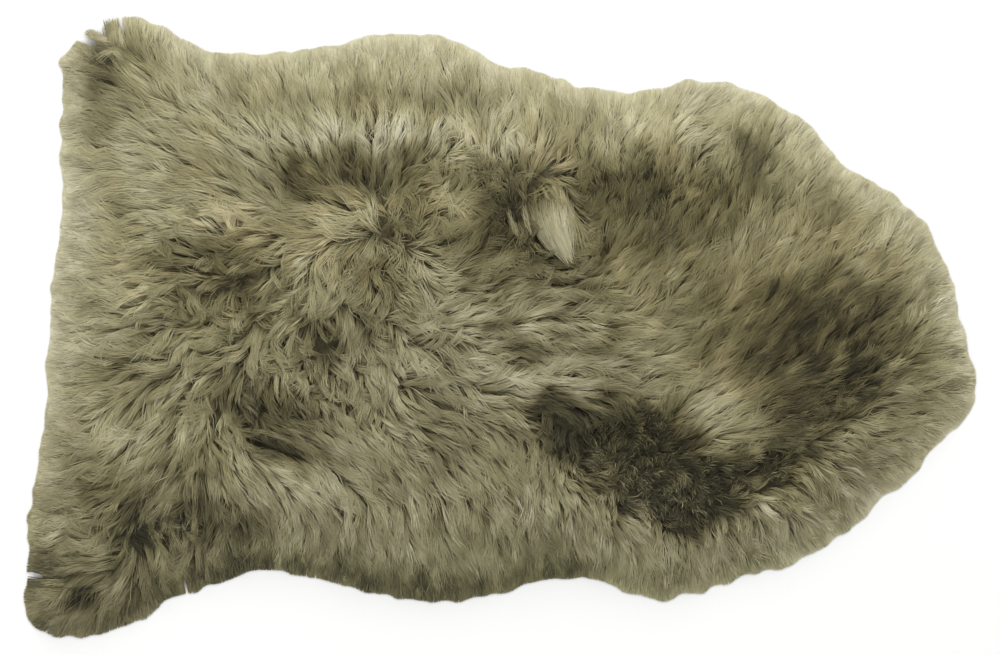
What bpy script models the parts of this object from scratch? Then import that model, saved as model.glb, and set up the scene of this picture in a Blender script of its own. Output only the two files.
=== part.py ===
"""Sheepskin rug: one whole pelt lying flat on the floor with its wool up.

Metres, +Z up. The pelt's long way runs along X, its tail end at -X and its neck end at +X,
its underside lies on z = 0 and its box is centred on the origin.
The wool is a lumpy slab. Its rim ends in separate locks that lie on the floor.
"""

import math
import random

import bmesh
import bpy
from mathutils import Vector
from mathutils.geometry import delaunay_2d_cdt

MM = 0.001

# Driving dimensions
LENGTH = 0.956  # over the tips of the locks, along X
WIDTH = 0.626  # over the tips of the locks, along Y
PILE_HEIGHT = 0.042  # of the wool where it lies over, without its clumps
LOWEST_PILE = 0.022  # no hollow is deeper than this height
ROUND_OVER = 0.075  # the wool falls from its full height to the rim over this width
ROUND_STEEPNESS = 0.75  # under 1 the fall starts gently and ends steeply at the rim

RIM_HEIGHT = 0.012  # where the locks on the floor leave the slab
LOCK_REACH = 0.020  # from the slab's edge to the tip of a usual lock
LOCK_PITCH = 0.0132  # along the slab's edge
LOCK_UNEVEN = 0.14  # a lock's reach is longer or shorter by up to this share
LOCK_SWING = 8.0  # degrees either way that a lock turns from its neighbours
# Sections of a lock past its root: share of the reach, of the room between its neighbours, of
# the root's height
LOCK_SECTIONS = ((0.55, 0.84, 0.66), (1.0, 0.46, 0.26))

# A second, sparser row of locks hangs over the first
UPPER_EVERY = 3  # one for this many locks on the floor
UPPER_REACH = 0.68  # of the lock on the floor
UPPER_TIP_HEIGHT = 0.014
UPPER_SECTIONS = ((0.5, 0.66), (1.0, 0.34))  # share of the reach, of the root's size

TOP_PITCH = 0.0138  # between the points of the lumpy top
EDGE_ROWS = ((0.010, 1), (0.022, 2))  # rows of points inside the slab's edge: how deep, one in how many
CURVE_STEPS = 24  # between two corners of the rim, before its points are evened out

# Clumps: long mounds that lie along the wool
CLUMP_PITCH = 0.034
CLUMP_LONG = 0.066
CLUMP_WIDE = 0.029
CLUMP_RISE = 0.0075

SEED = 7
SHARP = 50.0  # degrees: edges that turn more than this stay sharp

# How the top is divided into triangles
INSIDE_LOOP = 1
SAME_POINT = 1e-6

# Where the lock tips reach, clockwise from the tail end's far corner, in mm.
# Each stretch of the rim has a lean: degrees that its locks turn clockwise from straight out.
RIM = (
    ("far tail flap", -8, ((-434, 273), (-412, 289), (-393, 303), (-367, 313), (-341, 301))),
    ("far edge, tail half", -14, ((-315, 283), (-284, 275), (-237, 272), (-189, 277))),
    ("far edge, middle", 0, ((-141, 285), (-95, 293), (-48, 285), (-6, 264), (50, 251))),
    ("far edge, neck half", 24, ((89, 242), (135, 235), (178, 243), (216, 245), (247, 240))),
    ("far shoulder", 14, ((279, 220), (306, 205), (330, 182), (351, 156), (384, 143))),
    ("neck, far side", 6, ((406, 122), (430, 99), (446, 65), (460, 23), (467, -10))),
    ("neck", 4, ((477, -35), (478, -69), (467, -91), (441, -118), (416, -145))),
    ("near shoulder", -4, ((389, -170), (356, -199), (321, -223), (286, -240), (246, -250))),
    ("near edge, neck half", -6, ((201, -265), (172, -271), (131, -266), (106, -255))),
    ("near edge, middle", 0, ((71, -253), (41, -253), (1, -269), (-34, -273), (-71, -276))),
    ("near edge, tail half", 0, ((-119, -266), (-169, -254), (-230, -242), (-264, -253))),
    ("near tail notch", 4, ((-296, -260), (-309, -263), (-319, -262), (-329, -271))),
    ("near tail flap", 10, ((-349, -288), (-374, -300), (-414, -310), (-449, -313))),
    ("tail corner", 10, ((-472, -294), (-476, -266), (-467, -249), (-470, -218))),
    ("tail, near side", -3, ((-468, -183), (-457, -128), (-451, -58), (-447, 2))),
    ("tail, far side", 3, ((-441, 72), (-433, 119), (-439, 167), (-436, 206), (-437, 242))),
)

# Locks that stand out of their row: where, and how far past the rim (or short of it), in mm
ODD_LOCKS = (
    ("parting of the near tail flap", -316, -254, -12),
    ("spike beside it", -311, -264, 4),
    ("spike of the far tail flap", -414, 294, 6),
    ("curl beside it", -395, 306, 4),
    ("stray lock of the neck", 457, 42, 7),
    ("step in the near shoulder", 292, -240, 4),
    ("corner of the near edge", 172, -271, 4),
)

# Soft mounds and hollows of the pile, in mm and degrees: centre, size along and across,
# turn from +X, and rise of the centre
RELIEF = (
    ("large hollow", 161, -138, 190, 92, -8, -17),
    ("groove, near edge", 205, -181, 170, 34, 10, -9),
    ("groove, near shoulder", 298, -128, 120, 36, 44, -9),
    ("groove, neck", 357, -66, 100, 32, 46, -7),
    ("hollow behind the middle", 16, 116, 100, 66, 8, -14),
    ("tuft over that hollow", 56, 104, 74, 34, -64, 13),
    ("long dip, tail half", -122, 156, 250, 48, -4, -10),
    ("dip, far middle", 124, 132, 150, 84, -14, -8),
    ("dip, far shoulder", 250, 188, 66, 36, -32, -9),
    ("dip, neck", 330, 4, 170, 130, 20, -6),
    ("tangled wool, tail half", -256, 22, 180, 110, 12, -7),
    ("crease, tail half", -212, -118, 120, 26, -18, -11),
    ("hollow of the near tail flap", -318, -198, 96, 66, 10, -10),
    ("fold of the near tail flap", -414, -264, 84, 22, -8, -6),
    ("waves of the middle", 62, -14, 260, 120, 2, 6),
    ("flat tuft, neck half", 228, -96, 110, 60, 16, 8),
    ("crest, far edge", -22, 200, 290, 40, -4, 6),
    ("crest, near tail side", -238, -156, 130, 44, -6, 5),
    ("crest, far tail flap", -372, 262, 90, 46, 10, 4),
)

# Which way the tips of the wool point, in mm and degrees from +X
LAY = (
    ("far edge, tail half", -250, 250, 112),
    ("far edge, middle", -30, 250, 90),
    ("far shoulder", 250, 215, 36),
    ("neck, far side", 400, 90, 32),
    ("neck", 450, -60, -6),
    ("near shoulder", 350, -170, -42),
    ("near edge, neck half", 190, -240, -76),
    ("near edge, middle", -20, -240, -86),
    ("near edge, tail half", -240, -220, -92),
    ("near tail flap", -430, -285, 205),
    ("tail, near side", -430, -120, 184),
    ("tail, far side", -400, 120, 178),
    ("far tail flap", -370, 270, 122),
    ("inside the far tail flap", -300, 200, 138),
    ("tail half", -300, 110, 172),
    ("tail half, near side", -350, -100, 232),
    ("tangled wool", -230, 10, 262),
    ("near middle", -110, -130, -44),
    ("middle, far side", -60, 70, 34),
    ("middle", 70, -20, 2),
    ("hollow behind the middle", 30, 120, 80),
    ("neck half, far side", 190, 110, 72),
    ("neck half", 240, -30, 52),
    ("neck", 340, -10, 48),
    ("large hollow", 150, -140, 60),
)


def closed_curve(corners, pitch):
    """Points about a pitch apart along a smooth closed curve through the corners."""
    count = len(corners)
    fine = []
    for i, start in enumerate(corners):
        before, end, after = corners[i - 1], corners[(i + 1) % count], corners[(i + 2) % count]
        first, last = (end - before) / 2, (after - start) / 2  # slopes at the ends of the stretch
        for step in range(CURVE_STEPS):
            t = step / CURVE_STEPS
            bend = start * (1 + 2 * t) * (1 - t) ** 2 + end * t**2 * (3 - 2 * t)
            fine.append(bend + first * t * (1 - t) ** 2 - last * t**2 * (1 - t))
    return evenly_spaced(fine, pitch)


def evenly_spaced(loop, pitch):
    """Points about a pitch apart along a closed line."""
    runs = [(loop[(i + 1) % len(loop)] - point).length for i, point in enumerate(loop)]
    count = round(sum(runs) / pitch)
    spaced, walked, i = [], 0.0, 0
    for k in range(count):
        wanted = k * sum(runs) / count
        while walked + runs[i] < wanted:
            walked += runs[i]
            i += 1
        spaced.append(loop[i].lerp(loop[(i + 1) % len(loop)], (wanted - walked) / runs[i]))
    return spaced


def outward(loop, i):
    """The unit vector out of a clockwise loop at point i."""
    along = loop[(i + 1) % len(loop)] - loop[i - 1]
    return Vector((-along.y, along.x)).normalized()


def tip_line():
    """The rim over the lock tips, scaled to the rug's length and width, as points and leans."""
    corners = [Vector(corner) for _, _, stretch in RIM for corner in stretch]
    leans = [lean for _, lean, stretch in RIM for _ in stretch]
    low = Vector((min(c.x for c in corners), min(c.y for c in corners)))
    high = Vector((max(c.x for c in corners), max(c.y for c in corners)))
    middle, size = (low + high) / 2, high - low
    across = Vector((LENGTH / size.x, WIDTH / size.y))
    corners = [(corner - middle) * across for corner in corners]
    points = closed_curve(corners, LOCK_PITCH)
    nearest = [min(range(len(corners)), key=lambda k: (corners[k] - p).length) for p in points]
    return points, [leans[k] for k in nearest]


def inset(loop, distance):
    """The loop moved inwards, with its points evened out so that tight corners don't cross."""
    moved = [point - outward(loop, i) * distance for i, point in enumerate(loop)]
    for _ in range(2):
        moved = [(moved[i - 1] + 2 * moved[i] + moved[(i + 1) % len(moved)]) / 4 for i in range(len(moved))]
    return moved


def edge_distance(point, loop):
    """How far a point lies inside the loop; negative outside it."""
    nearest, crossings = math.inf, 0
    for i, start in enumerate(loop):
        end = loop[(i + 1) % len(loop)]
        run = end - start
        share = max(0.0, min(1.0, (point - start).dot(run) / run.length_squared))
        nearest = min(nearest, (point - start - run * share).length)
        if (start.y > point.y) != (end.y > point.y):
            crossings += point.x < start.x + (point.y - start.y) / run.y * run.x
    return nearest if crossings % 2 else -nearest


def turned(vector, angle):
    """A plan vector turned anticlockwise by an angle in radians."""
    cos, sin = math.cos(angle), math.sin(angle)
    return Vector((vector.x * cos - vector.y * sin, vector.x * sin + vector.y * cos))


def lay(point):
    """The angle, in radians, that the wool's tips point to at a place."""
    total = Vector((0, 0))
    for _, x, y, heading in LAY:
        away = (point - Vector((x, y)) * MM).length_squared
        total += turned(Vector((1, 0)), math.radians(heading)) / (away + (20 * MM) ** 2) ** 1.5
    return math.atan2(total.y, total.x)


def staggered(pitch):
    """Places in rows over the whole plan, each row half a pitch along from the last."""
    row_pitch = pitch * math.sqrt(3) / 2
    rows, places = round(WIDTH / 2 / row_pitch), round(LENGTH / 2 / pitch)
    for j in range(-rows, rows + 1):
        for i in range(-places, places + 1):
            yield Vector(((i + j % 2 / 2) * pitch, j * row_pitch))


def mounds():
    """Every soft mound and hollow: centre, lengths along and across, angle and rise."""
    shapes = [
        (Vector((x, y)) * MM, along * MM, across * MM, math.radians(turn), rise * MM)
        for _, x, y, along, across, turn, rise in RELIEF
    ]
    draw = random.Random(SEED)
    for place in staggered(CLUMP_PITCH):
        place += Vector((draw.uniform(-1, 1), draw.uniform(-1, 1))) * CLUMP_PITCH / 3
        size, rise = draw.uniform(0.8, 1.2), CLUMP_RISE * draw.uniform(0.3, 1)
        shapes.append((place, CLUMP_LONG * size, CLUMP_WIDE * size, lay(place), rise))
    return shapes


def relief(point, shapes):
    """Rise of the pile at a point, from the mounds, hollows and clumps there."""
    rise = 0.0
    for centre, along, across, angle, height in shapes:
        offset = point - centre
        if offset.length_squared < (along * 1.5) ** 2:
            offset = turned(offset, -angle)
            rise += height * math.exp(-((2 * offset.x / along) ** 2) - (2 * offset.y / across) ** 2)
    return rise


def pile_height(point, depth, shapes):
    """Height of the wool at a point that lies this deep inside the slab's edge."""
    inside = min(1.0, max(0.0, depth) / ROUND_OVER)
    round_over = math.sin(inside * math.pi / 2) ** ROUND_STEEPNESS
    full = max(LOWEST_PILE, PILE_HEIGHT + relief(point, shapes))
    return RIM_HEIGHT + (full - RIM_HEIGHT) * round_over


def top_points(edge):
    """The slab's edge, the rows that follow it and a staggered field inside them."""
    points = list(edge)
    for depth, one_in in EDGE_ROWS:
        points += [p for p in inset(edge, depth)[::one_in] if edge_distance(p, edge) > depth / 2]
    clear = EDGE_ROWS[-1][0] + TOP_PITCH * 0.7
    return points + [p for p in staggered(TOP_PITCH) if edge_distance(p, edge) > clear]


def lock_targets(tips, leans, edge):
    """Where each lock's tip lies, one for each length of the slab's edge."""
    draw = random.Random(SEED)
    targets = []
    for i, start in enumerate(edge):
        root = (start + edge[(i + 1) % len(edge)]) / 2
        tip = (tips[i] + tips[(i + 1) % len(tips)]) / 2
        reach = (tip - root).length * (1 + LOCK_UNEVEN * draw.uniform(-1, 1))
        swing = math.radians(leans[i] + LOCK_SWING * draw.uniform(-1, 1))
        for _, x, y, extra in ODD_LOCKS:
            if (tip - Vector((x, y)) * MM).length < LOCK_PITCH / 2:
                reach += extra * MM
        targets.append(root + turned((tip - root).normalized(), -swing) * reach)
    return targets


def draw_out_floor_lock(bm, wall, root, targets, i):
    """Draws a four-sided lock out of one face of the slab's wall, its underside on the floor."""
    corners = [v.co.copy() for v in wall.verts]
    half = max((corner.xy - root for corner in corners), key=lambda side: side.length)
    tip, neighbours = targets[i], (targets[i - 1], targets[(i + 1) % len(targets)])
    tip_room = min(abs((tip - other).dot(half.normalized())) for other in neighbours) / half.length / 2
    for share, filled, height in LOCK_SECTIONS:
        wall = bmesh.ops.extrude_discrete_faces(bm, faces=[wall])["faces"][0]
        centre = root.lerp(tip, share)
        width = filled * min(1.0, 1 - share + tip_room * share)
        for vert, corner in zip(wall.verts, corners, strict=True):
            side = (corner.xy - root) * width
            vert.co = (centre.x + side.x, centre.y + side.y, corner.z * height)


def draw_out_upper_lock(bm, face, tip):
    """Draws a three-sided lock out of a face of the slab's slope, clear of the locks below."""
    root = face.calc_center_median()
    corners = [v.co - root for v in face.verts]
    for share, size in UPPER_SECTIONS:
        face = bmesh.ops.extrude_discrete_faces(bm, faces=[face])["faces"][0]
        centre = root.lerp(tip, share)
        for vert, corner in zip(face.verts, corners, strict=True):
            vert.co = centre + corner * size


def lumpy_slab(bm, edge):
    """The slab with its flat underside. Returns its edge's points, its top's and its wall's faces."""
    count = len(edge)
    loop = [(i, (i + 1) % count) for i in range(count)]
    flat, _, triangles, *_ = delaunay_2d_cdt(top_points(edge), loop, [], INSIDE_LOOP, SAME_POINT)
    shapes = mounds()
    verts = []
    for i, point in enumerate(flat):
        depth = 0.0 if i < count else edge_distance(point, edge)
        verts.append(bm.verts.new((point.x, point.y, pile_height(point, depth, shapes))))
    top = {bm.faces.new([verts[i] for i in triangle]) for triangle in triangles}

    rim = [e for e in bm.edges if e.is_boundary]
    drawn = bmesh.ops.extrude_edge_only(bm, edges=rim)["geom"]
    for vert in (g for g in drawn if isinstance(g, bmesh.types.BMVert)):
        vert.co.z = 0.0
    wall = [g for g in drawn if isinstance(g, bmesh.types.BMFace)]
    bmesh.ops.edgeloop_fill(bm, edges=[e for e in bm.edges if e.is_boundary])
    bmesh.ops.recalc_face_normals(bm, faces=bm.faces)
    return verts[:count], top, wall


def draw_out_locks(bm, slab, edge, targets):
    """The row of locks on the floor, one from each length of wall, and the row above it."""
    rim, top, wall = slab
    count = len(edge)
    middles = [(start + edge[(i + 1) % count]) / 2 for i, start in enumerate(edge)]
    for face in wall:
        root = face.calc_center_median().xy
        i = min(range(count), key=lambda k: (middles[k] - root).length)
        draw_out_floor_lock(bm, face, root, targets, i)
    for i in range(0, count - 1, UPPER_EVERY):
        lowest_but_one = {f: sorted(v.co.z for v in f.verts)[1] for f in rim[i].link_faces if f in top}
        slope = max(lowest_but_one, key=lowest_but_one.get)
        tip = slope.calc_center_median().xy.lerp((targets[i - 1] + targets[i]) / 2, UPPER_REACH)
        draw_out_upper_lock(bm, slope, Vector((tip.x, tip.y, UPPER_TIP_HEIGHT)))


def pelt_mesh():
    tips, leans = tip_line()
    edge = inset(tips, LOCK_REACH)
    bm = bmesh.new()
    slab = lumpy_slab(bm, edge)
    draw_out_locks(bm, slab, edge, lock_targets(tips, leans, edge))
    centre_in_plan(bm)
    mesh = bpy.data.meshes.new("pelt")
    bm.to_mesh(mesh)
    bm.free()
    mesh.shade_smooth()
    mesh.set_sharp_from_angle(angle=math.radians(SHARP))
    return mesh


def centre_in_plan(bm):
    xs = [v.co.x for v in bm.verts]
    ys = [v.co.y for v in bm.verts]
    middle = Vector(((min(xs) + max(xs)) / 2, (min(ys) + max(ys)) / 2, 0))
    bmesh.ops.translate(bm, verts=bm.verts, vec=-middle)


def wool_material():
    material = bpy.data.materials.new("wool")
    material.use_nodes = True
    shader = material.node_tree.nodes["Principled BSDF"]
    shader.inputs["Base Color"].default_value = (0.262, 0.238, 0.148, 1.0)
    shader.inputs["Roughness"].default_value = 0.95
    shader.inputs["Metallic"].default_value = 0.0
    return material


def main():
    for old in list(bpy.data.objects):
        bpy.data.objects.remove(old, do_unlink=True)
    collection = bpy.data.collections.new("sheepskin_rug")
    bpy.context.scene.collection.children.link(collection)
    mesh = pelt_mesh()
    mesh.materials.append(wool_material())
    collection.objects.link(bpy.data.objects.new("pelt", mesh))


main()
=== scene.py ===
"""The looks of the sheepskin rug: a suede skin, dense underwool and long wool in locks.

Metres, +Z up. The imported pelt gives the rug's outline and the height of its wool everywhere.
The wool is drawn as narrow ribbons. They start in the underwool, lie over in the direction
that the table LAY gives and end as locks on the pelt's top.
"""

import math

import bmesh
import bpy
import numpy as np
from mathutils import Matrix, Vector
from mathutils.bvhtree import BVHTree
from mathutils.kdtree import KDTree


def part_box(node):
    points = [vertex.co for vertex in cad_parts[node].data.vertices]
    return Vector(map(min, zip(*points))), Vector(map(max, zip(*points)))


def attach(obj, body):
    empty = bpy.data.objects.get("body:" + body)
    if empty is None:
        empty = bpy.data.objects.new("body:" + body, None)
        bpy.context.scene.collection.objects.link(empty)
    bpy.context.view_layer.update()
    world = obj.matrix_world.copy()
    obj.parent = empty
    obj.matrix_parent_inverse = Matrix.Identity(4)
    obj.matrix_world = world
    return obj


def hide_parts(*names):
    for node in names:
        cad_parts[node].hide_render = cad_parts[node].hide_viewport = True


MM = 0.001
SEED = 11

# Camera: straight above, one millimetre a little above the floor to each pixel
FRAME_WIDTH = 1.0
FRAME_CENTRE = (0.001, 0.0)
CAMERA_LENS, SENSOR_WIDTH = 85.0, 36.0
CAMERA_RAISED = 0.02

# Studio. Place and size of each light in metres, and its power in watts.
WORLD_STRENGTH = 0.76
LIGHTS = {"key": ((0.3, 3.0, 2.3), 2.8, 102), "fill": ((-2.4, -1.2, 2.4), 2.0, 20)}
FLOOR_SIZE, FLOOR_LEVEL = 14, -0.0004

# The pelt's fields, which a grid of cells holds
CELL, GRID_MARGIN = 0.003, 0.03
GAP_BETWEEN_LOCKS = 0.012  # gaps up to this wide at the rim count as wool
LEAST_HEIGHT = 0.001  # of the solid where it counts as wool
RIM_SOFTENED, HEIGHT_SOFTENED, FACING_SOFTENED = 8, 2, 14  # rounds of softening

# Skin
SKIN_THICK, SKIN_UNEVEN = 0.0022, 0.0002
SKIN_INSET = 0.026  # from the tips of the wool to the edge of the skin
SKIN_CELL = 0.008

# Underwool
UNDER_INSET = 0.011
UNDER_SHARE = 0.62  # of the wool's height
UNDER_CELL = 0.007
UNDER_BELOW, UNDER_EDGE = 0.0024, 0.003  # heights of its underside and its edge
UNDER_RISES = 0.03  # from its edge to its full height

# Long wool
STRANDS = 187000  # at most
PIECES = 5
SECTIONS = np.array((0.0, 0.38, 0.72, 1.0))  # along a strand
STRAND_WIDTH = 0.00068
TAPER = ((0, 0.3, 0.75, 1), (0.8, 1.0, 0.8, 0.0))  # places along a strand and widths there
SHORT_REACH, LONG_REACH = 0.006, 0.043  # ahead of the root, for upright and for flat wool
USUAL_LEAN, LEAST_LEAN = 0.85, 0.12
ROOT_LEVEL = 0.7  # as a share of the tip's
LOWEST = 0.0008  # above the floor
WAVE_SIZE, WAVE_TURN = 0.0016, 5.5
FOLLOWS = 0.75  # how much a strand's shade follows the place it lies over, rather than its tip
ROLL = 0.12  # of a ribbon about its own line, in radians
OWN_FACING = 0.4  # how much a ribbon shades by its own face, rather than by the pelt's
ROUNDING = 8.0  # degrees that a strand's shading turns towards each of its edges
LOCK_ROUNDING = 0.75  # how much the two sides of a lock face apart
EDGE_SHADE = 0.009  # how much darker and paler than its middle a strand's edges are

# Locks, and staples, which are the larger locks that small ones lean together into
LOCK_SPACING, LOCK_RADIUS = 0.0066, 0.0037
LOCK_TIP_COMBED, LOCK_TIP = 0.74, 0.34  # how wide weak and firm locks still are at their tips
STRANDS_A_LOCK = 12
STRAYS = 0.06
STAPLE_SPACING = 0.014
STAPLE_SLIMNESS = 0.45  # a staple's width as a share of its length
STAPLE_HALF_WIDTH = 0.0062
STAPLE_TIP = 0.5
FIRM = (5, 9)  # degrees of tangle at which locks are weak, and how many more make them firm
UPRIGHT = (-0.62, 0.25)  # the same for lean, less than 0 because less lean is more upright
LOOSER = 0.7  # how much less firm wool is where the table LOOSE says so
# Turns in radians. Those of staples and of the lay are shares of the tangle.
LOCK_TURN, STAPLE_TURN, LAY_TURN, LOOSE_TURN = 0.09, 0.8, 0.8, 0.6
STRAND_TURN, STRAY_TURN, UPRIGHT_TURN, LOOSE_STRAND_TURN = 0.035, 0.2, 0.27, 0.1
STAPLE_BEND, TANGLED_BEND, STRAND_BEND = 0.1, 0.8, 0.05
LEAN_VARIES = 0.06
LOCK_SHADE, STREAKY_SHADE, STAPLE_SHADE, STRAND_SHADE = 0.03, 0.045, 0.038, 0.012
# Painted light and shade: how much paler the middles of staples and locks are than their sides,
# where the grooves between them are, and more if firm
STAPLE_CROWN_PAINTED_SHADE, LOCK_CROWN_PAINTED_SHADE = (0.04, 0.14), (0.06, 0.04)
# Painted shade on staples that lie lower and painted light on higher ones, and how much paler
# strays are
STAPLE_LEVEL_PAINTED_SHADE, STRAY_SHADE = 0.12, 0.05
WISP_SHADE, WISP_RARITY = 0.44, 5  # paler tips in upright wool
# Heights as shares of the pelt's: the lowest, and what each of the others adds at most
LIFT, LEVEL_LIFT, CROWN_LIFT = 0.865, 0.04, 0.02
STAPLE_CROWN_LIFT, STAPLE_LEVEL_LIFT = 0.03, 0.045

# The locks that the table LOCKS names
LOCK_STRETCH = 0.62  # of the lock's line that one strand follows
BUNDLE_WIDTH = 2.5  # mm of a lock's radius for each bundle in it
LOCK_WAVE, LOCK_ASTRAY = 0.001, 0.0022

# Short wool between the locks, and the wool at the rim
UNDERCOAT_SPACING = 0.0062
RIM_SPACING = 0.0018
RIM_LOCK_SPACING, RIM_GATHERS = 0.013, 0.18
RIM_BEYOND = 0.0044  # how far the rim's wool reaches past the pelt's locks, at most
RIM_LOBES, RIM_UNEVEN = 0.0005, 0.0004
RIM_BAND = (0.009, 0.026)  # how deep inside the rim the wool that forms it is rooted
RIM_ROOM = 0.05  # from the root to the rim, within which wool forms the rim
FAN_DEEP = 0.034  # how deep inside the rim the wool begins to turn towards it
CURLS_DOWN, FALLS = 0.006, 0.8  # the last stretch, and the share of its height it falls there

# How the wool lies. x and y in mm, the way the tips point in degrees from +X, how far the wool
# leans over (0 stands up, 1 lies flat), and how tangled it is in degrees.
LAY = {
    "far tail flap": (
        (-389, 292, 130, 0.8, 18), (-359, 297, 95), (-414, 247, 172), (-389, 272, 150, 0.8, 18),
        (-359, 237, 142),
    ),
    "far edge": (
        (-329, 267, 110), (-279, 252, 118), (-229, 252, 112), (-169, 257, 100),
        (-99, 267, 91, 0.95, 4), (-39, 257, 88, 0.95, 4), (21, 232, 96), (81, 222, 96),
        (141, 212, 68), (191, 217, 30, 0.95), (246, 227, 38),
    ),
    "far shoulder and neck": (
        (301, 187, 45), (351, 137, 42), (401, 107, 42), (431, 67, 30), (451, 17, 8),
        (466, -43, -4, 0.95), (451, -88, -20), (416, -128, -34),
    ),
    "near shoulder and near edge": (
        (371, -173, -42), (321, -213, -52), (271, -233, -62), (211, -248, -74), (161, -248, -84),
        (101, -233, -90, 0.85), (41, -233, -92, 0.85), (-19, -253, -84, 0.85),
        (-79, -253, -86, 0.85), (-139, -238, -94, 0.85), (-209, -223, -96, 0.85),
        (-269, -228, -95, 0.8, 6), (-309, -233, -88, 0.8, 8),
    ),
    "near tail flap": (
        (-339, -243, -70, 0.85, 14), (-369, -273, -110, 0.85, 14), (-409, -293, 228, 0.9, 12),
        (-449, -293, 205, 0.9, 11), (-459, -268, 188, 0.9, 8),
    ),
    "tail": (
        (-449, -223, 178, 0.9, 6), (-439, -163, 186), (-429, -103, 182), (-424, -43, 178, 0.95, 4),
        (-419, 17, 180, 0.95, 4), (-409, 77, 178, 0.95, 4), (-409, 137, 178, 0.95),
        (-414, 197, 182),
    ),
    "inside the far edge": (
        (-309, 227, 128), (-249, 217, 118), (-189, 212, 112), (-169, 202, 100, 0.95),
        (-99, 202, 93, 0.9, 6), (-29, 192, 92, 0.9, 6), (31, 197, 92, 0.85, 6), (91, 187, 85, 0.8),
        (151, 182, 60, 0.8), (201, 187, 40, 0.9, 4), (251, 187, 65, 0.6, 4), (301, 147, 52, 0.8, 4),
        (351, 107, 48, 0.85, 4), (381, 57, 45, 0.85), (401, -3, 38, 0.85),
    ),
    "inside the near edge": (
        (391, -63, 10, 0.9, 8), (351, -113, -30, 0.9, 8), (311, -153, -52, 0.85, 8),
        (261, -193, -66, 0.85), (201, -213, -78, 0.85), (141, -213, -86, 0.85),
        (81, -193, -88, 0.85, 6), (21, -183, -82, 0.85, 6), (-49, -183, -76, 0.85, 6),
        (-119, -183, -86, 0.85, 6), (-189, -188, -92, 0.85, 6), (-249, -193, -94, 0.8, 6),
        (-299, -193, -92, 0.55, 15), (-349, -193, -60, 0.65, 18), (-389, -213, 172, 0.85, 13),
        (-389, -153, 185, 0.85, 12),
    ),
    "tail half": (
        (-379, -93, 215, 0.9, 12), (-349, -113, 235, 0.9, 13), (-319, -133, 250, 0.9, 12),
        (-389, -33, 185, 0.9, 6), (-379, 27, 180, 0.95, 6), (-359, 87, 175), (-349, 147, 178, 0.95),
        (-349, 197, 155), (-289, 177, 150), (-299, 127, 172, 0.95), (-239, 157, 135),
        (-229, 107, 170), (-214, 132, 128, 0.8), (-179, 102, 170, 0.95), (-129, 106, 166, 0.85, 10),
    ),
    "tangled wool": (
        (-319, 67, 172, 0.8, 18), (-269, 67, 170, 0.6, 24), (-309, 17, 190, 0.7, 24),
        (-249, 27, 240, 0.6, 34), (-339, -23, 195, 0.8, 18), (-299, -33, 215, 0.7, 24),
        (-239, -33, 262, 0.7, 26), (-309, -73, 262, 0.85, 14), (-259, -83, 285, 0.7, 18),
        (-199, -73, -50, 0.7, 18), (-199, 62, -104, 0.85, 14), (-181, 24, 208, 0.85, 18),
    ),
    "crease": (
        (-239, -108, -16, 0.9, 6), (-189, -118, -22, 0.9, 6), (-229, -148, -40, 0.9, 8),
        (-279, -153, -70, 0.85, 8), (-159, -143, -42, 0.9, 8),
    ),
    "near middle": (
        (-99, -123, -45, 0.85, 8), (-59, -143, -52, 0.85, 8), (-19, -123, -55, 0.85, 8),
        (31, -123, -68, 0.8, 8), (-129, -63, -72, 0.75, 16), (-69, -73, -25, 0.8, 12),
    ),
    "large hollow": (
        (61, -113, -100, 0.5, 14), (101, -123, 60, 0.3, 30), (151, -113, 40, 0.25, 30),
        (181, -173, -80, 0.25, 30), (151, -153, 0, 0.22, 34), (221, -153, 20, 0.35, 30),
        (271, -143, 40, 0.3, 24), (321, -93, 45, 0.45, 18), (371, -53, 40, 0.5),
    ),
    "neck half": (
        (186, -80, 46, 0.92), (206, -102, 22, 0.95), (231, -76, 36, 0.95), (256, -100, 6, 0.95),
        (281, -72, 22), (241, -53, 42), (201, -23, 50), (261, -13, 55, 0.8), (321, -23, 55, 0.75),
        (321, 37, 52, 0.75), (261, 47, 60, 0.8), (201, 37, 60, 0.85), (241, 97, 68, 0.75, 4),
        (201, 137, 75, 0.6, 4),
    ),
    "hollow behind the middle": (
        (141, 137, 86, 0.5), (94, 127, 90, 0.5, 4), (108, 110, 90, 0.52, 4), (104, 84, 80, 0.6),
        (161, 107, 62, 0.55), (1, 117, 120, 0.35, 34), (-19, 147, 95, 0.5, 22),
        (-69, 147, 70, 0.55, 22), (-139, 157, 95, 0.5, 12), (-199, 157, 115, 0.6, 12),
        (-199, 137, 118, 0.6, 12), (31, 87, -50, 0.5, 30),
    ),
    "under the tuft": (
        (58, 122, -72), (58, 106, -68),
    ),
    "middle": (
        (-135, 154, 96, 0.8, 12), (-152, 130, 152, 0.85, 12), (-112, 134, 60, 0.7, 20),
        (-79, 142, 20, 0.72, 18), (-101, 100, 66, 0.42, 30), (-112, 74, -100, 0.5, 22),
        (-76, 106, 40, 0.6, 22), (-58, 118, 20, 0.9, 14), (-132, 68, -92, 0.66, 14),
        (-96, 66, -70, 0.58, 20), (-160, 66, -96, 0.7, 12), (-84, 54, -56, 0.95, 6),
        (-44, 82, 42, 0.85, 10), (-52, 50, 38, 0.85, 12), (-19, 27, 40, 0.8, 12),
        (-49, 7, 20, 0.85, 12), (-169, 17, -60, 0.7, 22), (-179, -23, -85, 0.6, 26),
        (-119, -13, -60, 0.7, 22), (-79, -33, -12, 0.85, 14), (-19, -13, 10, 0.9, 10),
        (41, 47, -5, 0.7, 14), (51, 17, 2, 0.95, 10), (101, -3, 8), (61, -33, 0, 0.95, 10),
        (141, -13, 15), (21, -63, -8, 0.85, 12), (101, -63, 0, 0.9, 10), (161, -43, 12),
        (61, 67, 5, 0.55, 14), (121, 57, 52, 0.8), (161, 37, 55, 0.85, 10),
    ),
}
USUAL_LAY = (0.9, 5)  # lean and tangle, or tangle, of the rows that leave it out
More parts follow.
